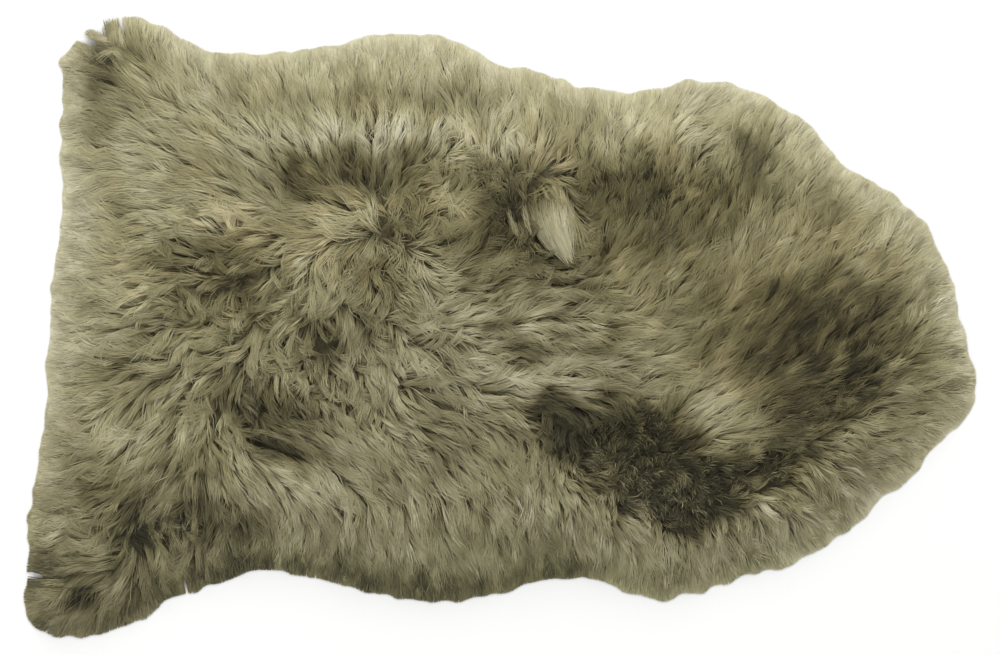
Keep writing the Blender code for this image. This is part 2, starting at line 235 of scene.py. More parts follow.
LAY_BLEND = 14.0  # mm over which one row gives way to the next

# Painted shade: upright wool is darker and flat wool paler, by how far it leans
MIDDLE_SHADE, LEAN_PAINTED_SHADE = 0.5, 0.55  # of wool that leans as usual, and for more lean
WOBBLE, WOBBLE_SIZE = 9, 0.03  # of a patch's outline, in mm and in metres
PATCH_EDGE, STREAK_EDGE = 1.3, 1.5  # how sharply they end (1 is a normal curve)
CLOUDS = ((0.05, 0.040, 3), (0.045, 0.016, 4))  # amounts, sizes in metres and seeds
USUAL_TINT = 1.9  # in TINT_COLOURS, from which the table TINTS adds and takes
TINT_RIM_DEEP = 0.02

# The wool's colours from dark to pale shade, which holds painted light and shade as well as the
# wool's own tone, and from a strand's root to its tip, darker at the root partly as painted shade
# of the deep pile and partly as the wool's own colour
SHADE_COLOURS = (
    (0.0, (0.022, 0.019, 0.008)),
    (0.25, (0.165, 0.146, 0.066)),
    (0.5, (0.345, 0.313, 0.170)),
    (0.75, (0.560, 0.525, 0.335)),
    (1.0, (0.780, 0.750, 0.560)),
)
ALONG_COLOURS = (
    (0.0, (0.54, 0.52, 0.47)),
    (0.4, (0.80, 0.785, 0.75)),
    (0.75, (0.98, 0.98, 0.97)),
    (1.0, (1.02, 1.02, 1.03)),
)
# The underwool's colours, dark as painted shade of the depth of the pile between the strands, and
# how much paler it is low down, without that painted shade
UNDER_PAINTED_SHADE_COLOURS = ((0.3, (0.050, 0.044, 0.021)), (0.7, (0.105, 0.092, 0.048)))
PALER_BELOW = ((0.0, (2.6, 2.6, 2.8)), (1.0, (1.0, 1.0, 1.0)))
SUEDE_COLOURS = ((0.35, (0.52, 0.44, 0.31)), (0.65, (0.72, 0.65, 0.51)))
UV_MAP = "OFBake"

# Where the wool is darker or paler than its lay alone makes it: painted shade in hollows, grooves,
# creases and under ridges, painted light on ridges and mounds, and partly the wool's own tone.
# Centre, length and width in mm, how much darker (less than 0) or paler it is, and the degrees by
# which it is turned, if any.
PATCHES = {
    "far tail flap": (-394, 264, 42, 30, -0.27, 45),
    "far tail, pale": (-319, 188, 92, 26, 0.09),
    "far tail, pale inside": (-279, 107, 42, 20, 0.2),
    "far edge": (-146, 229, 150, 14, -0.12),
    "far edge, middle": (-59, 227, 56, 16, -0.1),
    "far ridge": (-155, 191, 84, 16, 0.42, 4),
    "far ridge, middle": (-12, 183, 52, 15, 0.34, -4),
    "far ridge, neck end": (141, 197, 62, 15, 0.16, 8),
    "below the far ridge": (-178, 150, 84, 22, -0.21, -4),
    "below it, deepest": (-136, 150, 28, 22, -0.14),
    "far shoulder": (250, 176, 21, 38, -0.24, 20),
    "behind the tuft": (146, 108, 78, 56, -0.22, -8),
    "beside the tuft": (4, 100, 34, 44, -0.26),
    "hole by the tuft": (42, 83, 15, 9, -0.36, -30),
    "tail of the tuft": (-34, 70, 34, 24, -0.13),
    "middle, far": (1, 38, 62, 12, -0.12),
    "middle, pale": (36, -53, 38, 14, 0.27),
    "middle, neck end": (90, -16, 42, 18, -0.2),
    "neck": (318, -14, 106, 64, -0.38, -14),
    "neck mound": (236, -74, 29, 26, 0.17),
    "behind the mound": (204, 8, 22, 42, -0.19),
    "far shoulder, pale": (268, 206, 44, 18, 0.13, -40),
    "far shoulder, groove": (318, 117, 54, 13, -0.17, -14),
    "neck side of the tuft": (122, 108, 18, 26, 0.2),
    "end of the crease": (-160, -132, 24, 16, -0.18),
    "tail edge, near": (-376, -48, 78, 22, -0.1),
    "near edge, middle": (21, -213, 84, 16, -0.07),
    "far of the neck": (304, 66, 60, 16, 0.12),
    "hollow, tail end": (86, -106, 60, 30, -0.62, -24),
    "hollow, middle": (188, -164, 58, 36, -0.6, -16),
    "hollow, neck end": (272, -136, 40, 24, -0.26, 50),
    "tangle": (-284, 50, 56, 38, -0.24, -20),
    "tangle, near": (-166, -10, 42, 26, -0.15, 20),
    "crease": (-232, -86, 54, 32, -0.3, -10),
    "under the ridge": (-219, -119, 50, 9, -0.4, -18),
    "below the crease, pale": (-215, -168, 62, 16, 0.14),
    "near middle": (-50, -150, 30, 34, -0.13),
    "near tail flap": (-312, -196, 92, 52, -0.25, -14),
    "near tail flap, end": (-410, -226, 50, 54, -0.18),
    "near tail flap, groove": (-420, -270, 27, 8, -0.55, 16),
    "far tail, inside": (-401, 214, 15, 44, -0.17),
    "parting": (-136, 106, 54, 24, 0.12),
    "valley in it": (-96, 106, 20, 9, -0.26, 78),
    "below the parting": (-160, 70, 130, 17, 0.1),
    "hollow, top": (126, -85, 52, 19, -0.44, -6),
    "far of the tuft": (81, 188, 34, 18, -0.12),
    "near of the tuft": (46, 64, 34, 13, -0.16),
    "middle, far, neck end": (92, 24, 46, 26, -0.1),
    "middle, tail end": (-120, 28, 24, 20, -0.13),
    "near middle, far": (-38, -104, 26, 34, -0.16),
    "neck, far": (342, 32, 42, 36, -0.14),
    "neck, near": (262, -42, 26, 22, -0.19),
    "neck to hollow": (296, -80, 40, 32, -0.3, 10),
    "tail edge": (-418, 86, 66, 166, 0.03),
    "near shoulder": (150, -224, 70, 22, 0.03, 10),
    "under the mound": (196, -108, 26, 14, -0.34, 30),
    "by the slit": (-308, -250, 22, 14, 0.12),
    "near edge, tail half": (-112, -247, 56, 12, -0.12, -8),
    "near of the hollow": (44, -130, 18, 20, -0.19, -40),
    "near neck edge": (361, -150, 24, 46, -0.12, -35),
    "tail edge, near end": (-397, -152, 34, 34, -0.12),
    "tail of the crease": (-282, -134, 26, 18, -0.11),
    "tail of the parting": (-206, 112, 24, 20, -0.09),
    "near shoulder, rim": (226, -256, 46, 16, -0.12, 14),
    "groove": (-9, -3, 19, 5, -0.32, 38),
    "groove, far": (60, 13, 28, 4.5, -0.26, -6),
    "groove, near": (24, -27, 26, 5, -0.28, -3),
    "dark end of the middle": (34, -70, 22, 7, -0.34, -4),
}

# Where the wool shows streaks along its lay: painted shade in the grooves between locks and paler
# crests beside them. Centre, length and width in mm, the way the streaks run in degrees, and how
# much darker and paler they are.
STREAKS = {
    "middle": (60, -12, 150, 56, 3, 0.15),
    "near edge": (20, -205, 330, 46, -88, 0.06),
    "near shoulder": (300, -190, 90, 60, -52, 0.08),
    "tail half": (-335, -100, 80, 56, 48, 0.08),
    "far tail": (-330, 130, 110, 60, -12, 0.05),
    "neck": (320, 40, 120, 100, 50, 0.06),
}
STREAK_WIDTH, STREAK_LONGER = 0.0075, 4.5

# Painted light at the rim, and painted shade along the near edge, which faces away from the key
# light
RIM_PAINTED_LIGHT = 0.16  # how much paler the wool is at the rim
NEAR_RIM_PAINTED_SHADE = 0.34  # and how much darker along the near edge
RIM_SHADE_DEEP = 0.018
DARKEST = 0.03  # shade that the patches can bring the wool down to

# Where the wool is loose rather than in locks. Centre, length and width in mm.
LOOSE = {
    "parting": (-114, 84, 54, 44),
    "beside the tuft": (8, 88, 34, 46),
}

# Where the wool is browner (more than 0) or greyer and greener. Centre, length and width in mm.
TINTS = {
    "far half": (60, 110, 330, 90, 0.7),
    "neck": (270, -10, 120, 90, 1.1),
    "tangle": (-230, 60, 110, 60, 0.6),
    "middle": (-30, -30, 190, 90, -1.2),
    "near edge": (-40, -240, 380, 80, -1.6),
    "near tail flap": (-400, -240, 90, 90, -0.5),
}
TINT_COLOURS = ((0.965, 1.0, 1.0), (1.0, 1.0, 1.05), (1.0, 1.0, 0.98), (1.045, 1.0, 0.92))

# Locks that stand out. Root, middle and tip of each in mm, its radius there and at its tip in
# mm, how late it narrows (1 is a cone), its strands, how high it lies over the wool and how
# pale it is.
LOCKS = {
    "tuft": ((50, 124), (52, 96), (71, 63), 21, 2.5, 1.9, 560, 0.985, 0.60),
    "tuft, side": ((66, 124), (74, 98), (74, 70), 5, 2.0, 1.0, 90, 0.975, 0.54),
    "wisp": ((24, 122), (27, 106), (33, 89), 3, 1.2, 1.0, 45, 0.95, 0.46),
    "far wisp": ((8, 121), (11, 105), (21, 88), 3, 1.2, 1.0, 45, 0.94, 0.43),
    "ridge": ((-262, -105), (-228, -97), (-176, -130), 5.0, 2.0, 1.0, 100, 0.92, 0.36),
    "horn": ((-384, 284), (-399, 287), (-417, 297), 5, 0.8, 1.0, 130, 0.95, 0.46),
    "knob": ((-385, 280), (-390, 296), (-391, 311), 6, 5.0, 1.0, 200, 1.00, 0.44),
    "curl": ((-372, 256), (-382, 289), (-403, 268), 4.0, 1.8, 1.0, 130, 0.98, 0.52),
}

# Places without wool. From, to and half width in mm.
GAPS = {
    "slit in the near edge": ((-317.5, -253), (-314.5, -268), 1.1),
    "notch over the near flap": ((-474, -248), (-456, -252), 1.4),
    "under the horn": ((-426, 292), (-407, 286), 2.6),
    "over the horn": ((-414, 304), (-400, 299), 2.4),
    "beside the knob": ((-381, 314), (-381, 303), 1.0),
    "hole beside the tuft": ((38, 87), (50, 78), 3.2),
    "under the ridge": ((-250, -112), (-196, -130), 1.2),
    "start of the hollow": ((58, -90), (72, -100), 3.0),
    "near tail flap, groove": ((-398, -265), (-440, -277), 0.8),
    "pit in the tangle": ((-183, -22), (-160, -15), 2.0),
}

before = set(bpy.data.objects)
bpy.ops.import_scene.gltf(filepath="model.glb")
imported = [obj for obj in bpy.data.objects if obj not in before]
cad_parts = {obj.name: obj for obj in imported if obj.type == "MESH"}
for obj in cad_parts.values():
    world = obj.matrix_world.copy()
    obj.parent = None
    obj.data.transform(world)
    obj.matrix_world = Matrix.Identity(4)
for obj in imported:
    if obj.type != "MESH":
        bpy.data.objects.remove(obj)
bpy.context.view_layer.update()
rng = np.random.default_rng(SEED)


# ---- fields of the pelt ----


def step(value, start, over):
    """0 up to the start, 1 from so far past it, and a straight rise between."""
    return np.clip((value - start) / over, 0, 1)


def pointing(angle):
    return np.stack((np.cos(angle), np.sin(angle)), -1)


def unit(vectors, least=1e-9):
    return vectors / (np.linalg.norm(vectors, axis=-1, keepdims=True) + least)


def turned(x, y, degrees=0):
    """Coordinates along and across a direction."""
    turn = math.radians(degrees)
    along = x * math.cos(turn) + y * math.sin(turn)
    return along, y * math.cos(turn) - x * math.sin(turn)


def kd_tree(places):
    tree = KDTree(len(places))
    for k, (x, y) in enumerate(places):
        tree.insert((x, y, 0), k)
    tree.balance()
    return tree


low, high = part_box("pelt")
corner = np.array((low.x, low.y)) - GRID_MARGIN
counts = np.ceil((np.array((high.x, high.y)) + GRID_MARGIN - corner) / CELL).astype(int) + 1
cells = corner + np.stack(np.meshgrid(*map(np.arange, counts), indexing="ij"), -1) * CELL


def read(field, xy):
    """A field of the grid at places, blended between the four nearest cells."""
    at = np.clip((xy - corner) / CELL, 0, counts - 1.001)
    i, j = at[..., 0].astype(int), at[..., 1].astype(int)
    u, v = at[..., 0] - i, at[..., 1] - j
    return (
        field[i, j] * (1 - u) * (1 - v)
        + field[i + 1, j] * u * (1 - v)
        + field[i, j + 1] * (1 - u) * v
        + field[i + 1, j + 1] * u * v
    )


def solid_heights(node):
    """The height of a node's top over each cell, and 0 beside it."""
    tree = BVHTree.FromObject(node, bpy.context.evaluated_depsgraph_get())
    heights = np.zeros(counts)
    down, above = Vector((0, 0, -1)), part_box(node.name)[1].z + 0.01
    for cell, (x, y) in zip(np.ndindex(heights.shape), cells.reshape(-1, 2), strict=True):
        hit = tree.ray_cast(Vector((x, y, above)), down)[0]
        if hit is not None:
            heights[cell] = hit.z
    return heights


def spread(field, far, pick):
    """The highest (pick is maximum) or lowest (minimum) value up to so many cells away."""
    padded = np.pad(field, far, mode="edge")
    result = field
    for i, j in np.ndindex(2 * far + 1, 2 * far + 1):
        if (i - far) ** 2 + (j - far) ** 2 <= far**2:
            result = pick(result, padded[i : i + len(field), j : j + len(field[0])])
    return result


def softened(field, times):
    for _ in range(times):
        wider = np.pad(field, 1, mode="edge")
        across, up = wider[:, 1:-1], wider[1:-1]
        field = (4 * field + across[:-2] + across[2:] + up[:, :-2] + up[:, 2:]) / 8
    return field


def rim_depths(inside):
    """How far each cell lies inside the rim; negative outside it."""
    depths = np.zeros(inside.shape)
    for mask, sign in ((inside, 1), (~inside, -1)):
        tree = kd_tree(cells[~mask])
        for i, j in zip(*np.nonzero(mask), strict=True):
            depths[i, j] = sign * (tree.find((*cells[i, j], 0))[2] - CELL / 2)
    return depths


gap = round(GAP_BETWEEN_LOCKS / CELL)
wool_height = solid_heights(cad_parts["pelt"])
wool_height = spread(spread(wool_height, gap, np.maximum), gap, np.minimum)
rim_depth = softened(rim_depths(wool_height > LEAST_HEIGHT), RIM_SOFTENED)
wool_height = softened(wool_height, HEIGHT_SOFTENED)


def waves(xy, size, seed, count=14):
    """A smooth field between about -1 and 1 whose bumps are about this size."""
    draw = np.random.default_rng(seed)
    turn, phase = draw.uniform(0, 2 * np.pi, (2, count))
    rate = 2 * np.pi / (size * draw.uniform(1.2, 2.6, count))
    along = xy[..., 0, None] * np.cos(turn) + xy[..., 1, None] * np.sin(turn)
    return np.sin(along * rate + phase).sum(-1) / math.sqrt(count / 2) / 1.6


def from_middle(xy, x, y, long, wide):
    """The square of how far places lie from the middle of an area, where 1 is its edge."""
    return ((xy[:, 0] / MM - x) / long) ** 2 + ((xy[:, 1] / MM - y) / wide) ** 2


def lay_at(xy):
    """At places: the way the tips point in radians, the lean, and the tangle in radians."""
    rows = (row for area in LAY.values() for row in area)
    rows = np.array([(*row, *USUAL_LAY[len(row) - 3 :]) for row in rows], float)
    angles = np.radians(rows[:, 2])
    away = ((xy[:, None] / MM - rows[None, :, :2]) ** 2).sum(-1)
    weights = 1 / (away + LAY_BLEND**2) ** 2
    total = weights.sum(1)
    heading = np.arctan2(weights @ np.sin(angles), weights @ np.cos(angles))
    return heading, weights @ rows[:, 3] / total, np.radians(weights @ rows[:, 4] / total)


# ---- where wool grows and how it shows ----


def staggered_places(spacing, jitter, least_depth, most_depth=1.0):
    """Places all over the pelt that lie so deep inside the rim."""
    rows = np.arange(low.y, high.y, spacing * math.sqrt(3) / 2)
    columns = np.arange(low.x, high.x, spacing)
    x, y = np.meshgrid(columns, rows)
    x = x + (np.arange(len(rows)) % 2)[:, None] * spacing / 2
    places = np.stack((x.ravel(), y.ravel()), -1)
    places += rng.uniform(-jitter, jitter, places.shape) * spacing
    depth = read(rim_depth, places)
    return places[(depth > least_depth) & (depth < most_depth)]


def slim_cells(places, centres, heading):
    """The centre that each place belongs to, in cells drawn out along the heading, and how far
    the place lies beside the middle line of its cell."""
    tree = kd_tree(centres)
    near = np.array([[found[1] for found in tree.find_n((x, y, 0), 12)] for x, y in places])
    ahead = pointing(heading)
    between = places[:, None] - centres[near]
    along = (between * ahead[:, None]).sum(-1)
    across = between[..., 1] * ahead[:, :1] - between[..., 0] * ahead[:, 1:]
    pick = np.argmin(across**2 + (STAPLE_SLIMNESS * along) ** 2, axis=1)
    row = np.arange(len(places))
    return near[row, pick], across[row, pick]


def round_places(count, radius):
    angle = rng.uniform(0, 2 * np.pi, count)
    away = np.sqrt(rng.uniform(0, 1, count)) * radius
    return pointing(angle) * away[:, None]


def fanned_out(xy, heading, share):
    """Headings that turn towards the rim the nearer they are to it."""
    near = share * np.clip(1 - read(rim_depth, xy) / FAN_DEEP, 0, 1)[:, None]
    out = unit(-np.stack([read(slope, xy) for slope in np.gradient(rim_depth, CELL)], -1))
    ahead = pointing(heading) * (1 - near) + out * near
    return np.arctan2(ahead[:, 1], ahead[:, 0])


def reach_of(lean):
    return SHORT_REACH + (LONG_REACH - SHORT_REACH) * lean**1.5


def seen_at(root, heading, lean, part=0.7):
    """Where a strand shows: most of its length lies under the tips of others."""
    return root + pointing(heading) * (part * reach_of(lean))[:, None]


def shade_at(xy, lean):
    """From 0, dark, to 1, pale. Painted light and shade: flat wool shows its pale length, upright
    wool its dark depth as painted shade, and the patches, streaks and rim paint more of both.
    """
    shade = MIDDLE_SHADE + LEAN_PAINTED_SHADE * (lean - USUAL_LEAN)
    wobble = [WOBBLE * waves(xy, WOBBLE_SIZE, seed) for seed in (21, 22)]
    # Patches of painted shade and painted light
    for x, y, long, wide, amount, *degrees in PATCHES.values():
        dx, dy = xy[:, 0] / MM - x + wobble[0], xy[:, 1] / MM - y + wobble[1]
        along, across = turned(dx, dy, *degrees)
        away = (along / long) ** 2 + (across / wide) ** 2
        shade += amount * np.exp(-(away**PATCH_EDGE))
    # Streaks of painted shade in the grooves along the lay
    for seed, (x, y, long, wide, degrees, amount) in enumerate(STREAKS.values(), 61):
        along, across = turned(xy[:, 0] - x * MM, xy[:, 1] - y * MM, degrees)
        streak = waves(np.stack((along / STREAK_LONGER, across), -1), STREAK_WIDTH, seed, 24)
        away = from_middle(xy, x, y, long, wide)
        shade += amount * streak * np.exp(-(away**STREAK_EDGE))

    # The rim is paler all round, as painted light, but for the near edge, where it is darker, as
    # painted shade on the side that faces away from the key light.
    x, y = xy[:, 0], xy[:, 1]
    pale = np.maximum(step(y, -0.13, 0.09), 0.6 * step(x, 0.25, 0.12))
    dark = step(-y, 0.21, 0.03) * step(-x, -0.14, 0.05)
    rim = np.exp(-((np.maximum(0, read(rim_depth, xy)) / RIM_SHADE_DEEP) ** 1.5))
    shade += (RIM_PAINTED_LIGHT * pale - NEAR_RIM_PAINTED_SHADE * dark) * rim
    for amount, size, seed in CLOUDS:
        shade += amount * waves(xy, size, seed)
    return DARKEST + np.logaddexp(0, (shade - DARKEST) / 0.05) * 0.05


def shade_over_pelt():
    """What shade_at gives, on the grid."""
    places = cells.reshape(-1, 2)
    lean = np.concatenate([lay_at(part)[1] for part in np.array_split(places, 8)])
    return shade_at(places, lean).reshape(counts)


def tint_at(xy):
    """Which of the table TINT_COLOURS each place has: green, grey, plain or brown."""
    tint = USUAL_TINT + 0.4 * waves(xy, 0.05, 31)
    for *area, amount in TINTS.values():
        tint += amount * np.exp(-from_middle(xy, *area))
    tint -= np.exp(-np.maximum(0, read(rim_depth, xy)) / TINT_RIM_DEEP)
    most = len(TINT_COLOURS) - 1
    return np.clip(np.round(tint + rng.uniform(-0.5, 0.5, len(xy))), 0, most)


# ---- long wool ----


def kind_of_wool(root, **columns):
    """Wool with these columns, and 0 in those that are left out."""
    count = len(root)
    nothing = {name: np.zeros(count) for name in ("wisp", "forms_rim")}
    pairs = {name: np.zeros((count, 2)) for name in ("gathers", "tilt")}
    return {"root": root, **nothing, **pairs, **columns}


def lock_wool():
    """Strands in locks, and locks that lean together in staples."""
    centres = staggered_places(LOCK_SPACING, 0.4, RIM_BAND[1] * 0.7)
    staples = staggered_places(STAPLE_SPACING, 0.35, -0.01)
    locks = len(centres)
    heading, lean, tangle = lay_at(centres)
    staple, beside = slim_cells(centres, staples, heading)
    twist = lay_at(staples)[2] * rng.normal(0, STAPLE_TURN, len(staples))
    heading = heading + twist[staple] + tangle * LAY_TURN * waves(centres, 0.018, 2)
    heading = fanned_out(centres, heading + rng.normal(0, LOCK_TURN, locks), 0.5)
    lean = np.clip(lean + rng.normal(0, LEAN_VARIES, len(staples))[staple], LEAST_LEAN, 1)
    seen = seen_at(centres, heading, lean)
    local = shade_at(seen, lean)
    # Along the near edge and over the near part of the neck the locks differ more.
    x, y = centres[:, 0], centres[:, 1]
    streaky = np.maximum(step(-y, 0.11, 0.05), step(x, 0.22, 0.08) * step(-y, -0.10, 0.08))
    shade = rng.normal(0, 1, locks) * (LOCK_SHADE + STREAKY_SHADE * streaky)
    tint = tint_at(seen)
    shade += rng.normal(0, STAPLE_SHADE, len(staples))[staple]

    # Combed wool makes weak locks, tangled wool strong ones and upright wool none.
    upright = step(-lean, *UPRIGHT)
    loose = np.zeros(locks)
    for area in LOOSE.values():
        loose = np.maximum(loose, np.exp(-(from_middle(centres, *area) ** 1.5)))
    firm = step(np.degrees(tangle), *FIRM) * (1 - upright) * (1 - LOOSER * loose)
    heading += LOOSE_TURN * loose * waves(centres, 0.014, 51)
    shade += upright * (0.04 * waves(centres, 0.007, 41) + 0.07 * waves(centres, 0.013, 42))
    tip = LOCK_TIP_COMBED + (LOCK_TIP - LOCK_TIP_COMBED) * firm

    # From here on each value is one strand's.
    size = rng.uniform(0.6, 1.4, locks)
    lock = np.repeat(np.arange(locks), np.round(STRANDS_A_LOCK * size**2).astype(int))
    count = len(lock)
    offset = round_places(count, LOCK_RADIUS)
    crown = 1 - (np.linalg.norm(offset, axis=1) / LOCK_RADIUS) ** 2
    offset = offset * size[lock, None]
    strays = rng.uniform(0, 1, count) < STRAYS
    across = np.stack((-np.sin(heading), np.cos(heading)), -1)
    to_staple = (across * beside[:, None])[lock]
    staple_crown = 1 - np.clip(np.abs(beside[lock]) / STAPLE_HALF_WIDTH, 0, 1) ** 2
    staple_level = rng.uniform(0, 1, len(staples))[staple][lock]
    level = rng.uniform(0, 1, locks)[lock]
    shade, tip, firm = shade[lock], tip[lock], firm[lock]
    upright, loose = upright[lock], loose[lock]
    # Painted shade in the grooves at the sides of staples and locks and on lower staples, painted
    # light on their middles
    shade += (STAPLE_CROWN_PAINTED_SHADE[0] + STAPLE_CROWN_PAINTED_SHADE[1] * firm) * (staple_crown - 0.65)
    shade += STAPLE_LEVEL_PAINTED_SHADE * (staple_level - 0.5) * firm
    shade += (LOCK_CROWN_PAINTED_SHADE[0] + LOCK_CROWN_PAINTED_SHADE[1] * firm) * (crown - 0.6)
    lift = LIFT + LEVEL_LIFT * level + CROWN_LIFT * crown + STAPLE_CROWN_LIFT * staple_crown
    wisp = rng.uniform(0, 1, count) ** WISP_RARITY * WISP_SHADE * upright
    bend = rng.normal(0, 1, len(staples))[staple][lock]
    turn = np.where(strays, STRAY_TURN, STRAND_TURN)
    turn = turn + UPRIGHT_TURN * upright + LOOSE_STRAND_TURN * loose
    return kind_of_wool(
        root=centres[lock] + offset,
        gathers=offset * (1 - np.where(strays, 1.1, tip))[:, None]
        + to_staple * ((1 - STAPLE_TIP) * (0.3 + 0.7 * firm))[:, None],
        heading=heading[lock] + rng.normal(0, 1, count) * turn,
        lean=lean[lock],
        length=rng.uniform(0.68, 1.2, locks)[lock] * rng.uniform(0.7, 1.1, count),
        lift=lift + STAPLE_LEVEL_LIFT * staple_level,
        local=local[lock],
        shade=shade + STRAY_SHADE * strays + rng.normal(0, STRAND_SHADE, count),
        wisp=wisp,
        bend=bend * (STAPLE_BEND + TANGLED_BEND * tangle[lock]) + rng.normal(0, STRAND_BEND, count),
        wave=rng.uniform(0, 2 * np.pi, locks)[lock],
        width=STRAND_WIDTH * rng.uniform(0.7, 1.3, count),
        tilt=0.5 * offset / LOCK_RADIUS + 0.6 * to_staple / STAPLE_HALF_WIDTH,
        tint=tint[lock],
    )


def undercoat():
    """Short wool of no fixed direction, which closes partings and fills between the locks."""
    root = staggered_places(UNDERCOAT_SPACING, 0.5, 0.012)
    root = np.repeat(root, 2, axis=0) + round_places(2 * len(root), 0.004)
    count = len(root)
    heading, lean, tangle = lay_at(root)
    heading += rng.normal(0, 1, count) * (0.12 + 0.8 * tangle)
    seen = seen_at(root, heading, lean, 0.4)
    return kind_of_wool(
        root=root,
        heading=heading,
        lean=np.clip(lean * 0.7, 0.15, 0.6),
        length=rng.uniform(0.7, 1.1, count),
        lift=rng.uniform(0.68, 0.84, count),
        local=shade_at(seen, lean),
        # Darker than the locks: painted shade, as this wool lies low in the pile
        shade=rng.normal(-0.08, 0.05, count),
        bend=rng.normal(0, 0.25, count),
        wave=rng.uniform(0, 2 * np.pi, count),
        width=STRAND_WIDTH * rng.uniform(1.0, 1.6, count),
        tint=tint_at(seen),
    )


def rim_wool():
    """Wool at all heights that ends at the rim and curves down to the floor there."""
    root = staggered_places(RIM_SPACING, 0.5, *RIM_BAND)
    count = len(root)
    locks = staggered_places(RIM_LOCK_SPACING, 0.4, -0.01, 0.04)
    tree = kd_tree(locks)
    to_lock = root - locks[[tree.find((x, y, 0))[1] for x, y in root]]
    heading, lean, _ = lay_at(root)
    heading = fanned_out(root, heading, 0.85) + 0.10 * waves(root, 0.012, 9)
    seen = seen_at(root, heading, lean, 0.2)
    return kind_of_wool(
        root=root,
        gathers=RIM_GATHERS * to_lock,
        heading=heading + rng.normal(0, 0.06, count),
        lean=np.full(count, 0.95),
        length=np.full(count, 1.0),
        lift=rng.uniform(0.12, 1.0, count) ** 0.7,
        local=shade_at(seen, np.maximum(lean, USUAL_LEAN)),
        shade=0.04 * waves(root, 0.006, 10) + 0.06 + rng.normal(0, 0.035, count),
        bend=rng.normal(0, 0.08, count),
        wave=rng.uniform(0, 2 * np.pi, count),
        width=STRAND_WIDTH * rng.uniform(0.8, 1.4, count),
        tilt=to_lock / 0.009,
        tint=tint_at(seen),
        forms_rim=np.ones(count),
    )


def room_ahead(root, ahead, farthest=0.07, steps=29):
    """How far each strand can reach before it passes the rim, which is a little lobed."""
    tried = np.linspace(0, farthest, steps)
    along = root[:, None] + ahead[:, None] * tried[:, None]
    depth = read(rim_depth, along) + RIM_BEYOND + RIM_LOBES * waves(along, 0.013, 12)
    depth -= np.abs(rng.normal(0, RIM_UNEVEN, len(root)))[:, None]
    first = np.where((depth < 0).any(1), np.argmax(depth < 0, axis=1), steps - 1)
    first = np.maximum(first, 1)
    row = np.arange(len(root))
    before, after = depth[row, first - 1], depth[row, first]
    part = np.clip(before / (before - after + 1e-9), 0, 1)
    return (first - 1 + part) * tried[1]


def strand_paths(wool):
    """The points of each strand, as (strands, sections, 3)."""
    t = SECTIONS[None, :]
    reach = (reach_of(wool["lean"]) * wool["length"])[:, None]
    room = room_ahead(wool["root"] - wool["gathers"], pointing(wool["heading"]))[:, None]
    at_rim = wool["forms_rim"][:, None] > 0
    reach = np.where(at_rim & (room < RIM_ROOM), room, np.minimum(reach, room))
    edge = np.clip(1 - (room - reach) / CURLS_DOWN, 0, 1)

    turn = wool["heading"][:, None] + wool["bend"][:, None] * t * (1 - edge)
    out = reach * ((1 - edge) * t**1.1 + edge * (1 - (1 - t) ** 1.7))
    side = WAVE_SIZE * np.sin(t * WAVE_TURN + wool["wave"][:, None]) * t * (1 - edge)
    inward = wool["gathers"][:, None] * t[..., None]
    x = wool["root"][:, :1] - inward[..., 0] + out * np.cos(turn) - side * np.sin(turn)
    y = wool["root"][:, 1:] - inward[..., 1] + out * np.sin(turn) + side * np.cos(turn)
    top = read(wool_height, np.stack((x, y), -1))
    rise = ROOT_LEVEL + (1 - ROOT_LEVEL) * t**0.8
    fall = 1 - FALLS * edge * np.clip((t - 0.5) / 0.5, 0, 1) ** 2
    z = np.maximum(LOWEST, top * wool["lift"][:, None] * rise * fall)
    return np.stack((x, y, z), -1)


def named_locks(pelt_shade):
    """The locks of the table LOCKS: paths, shades, widths, tilts and tints of their strands."""
    strands = []
    for *points, wide, narrow, rounded, count, lift, shade in LOCKS.values():
        start, middle, end = (np.array(point) * MM for point in points)
        # Each strand follows its own stretch of the lock.
        first = rng.uniform(-0.15, 0.42, count)[:, None, None]
        t = np.clip(first + LOCK_STRETCH * SECTIONS[None, :, None], -0.15, 1.04)
        line = (1 - t) ** 2 * start + 2 * t * (1 - t) * middle + t**2 * end
        along = unit(np.gradient(line, axis=1), 0)
        across = np.stack((-along[..., 1], along[..., 0]), -1)
        # A lock is made of bundles beside each other, each at its own level.
        bundles = max(2, round(wide / BUNDLE_WIDTH))
        bundle = rng.integers(0, bundles, count)
        level = rng.uniform(-1, 1, (bundles, 2))[bundle]
        spot = rng.normal(0, 0.8 / bundles, (count, 2))
        spot[:, 0] += (bundle + 0.5) / bundles * 2 - 1
        radius = (narrow + (wide - narrow) * (1 - np.clip(t, 0, 1) ** rounded)) * MM
        wave = rng.uniform(0, 2 * np.pi, count)[:, None, None]
        astray = rng.normal(0, LOCK_ASTRAY, count)[:, None, None] * np.clip(t, 0, 1) ** 2
        aside = spot[:, None, :1] * radius + LOCK_WAVE * np.sin(wave + 6 * t) + astray
        flat = line + across * aside
        top = np.maximum(read(wool_height, flat), 0.005)
        buried = 0.72 + 0.28 * np.clip(SECTIONS / 0.3, 0, 1)
        z = top * lift * buried * (1 - 0.14 * spot[:, :1] ** 2 - 0.10 * np.abs(spot[:, 1:]))
        z = np.maximum(z * (1 + 0.05 * level[:, :1]), MM)
        own = shade + 0.09 * level[:, 1] + rng.normal(0, 0.05, count)
        around = read(pelt_shade, flat)
        strands.append(
            (
                np.concatenate((flat, z[..., None]), -1),
                around + (own[:, None] - around) * np.clip(t[..., 0] / 0.3, 0, 1),
                STRAND_WIDTH * rng.uniform(0.7, 1.2, count),
                across[:, 2] * spot[:, :1],
                np.ones(count),
            )
        )
    return [np.concatenate(values) for values in zip(*strands, strict=True)]


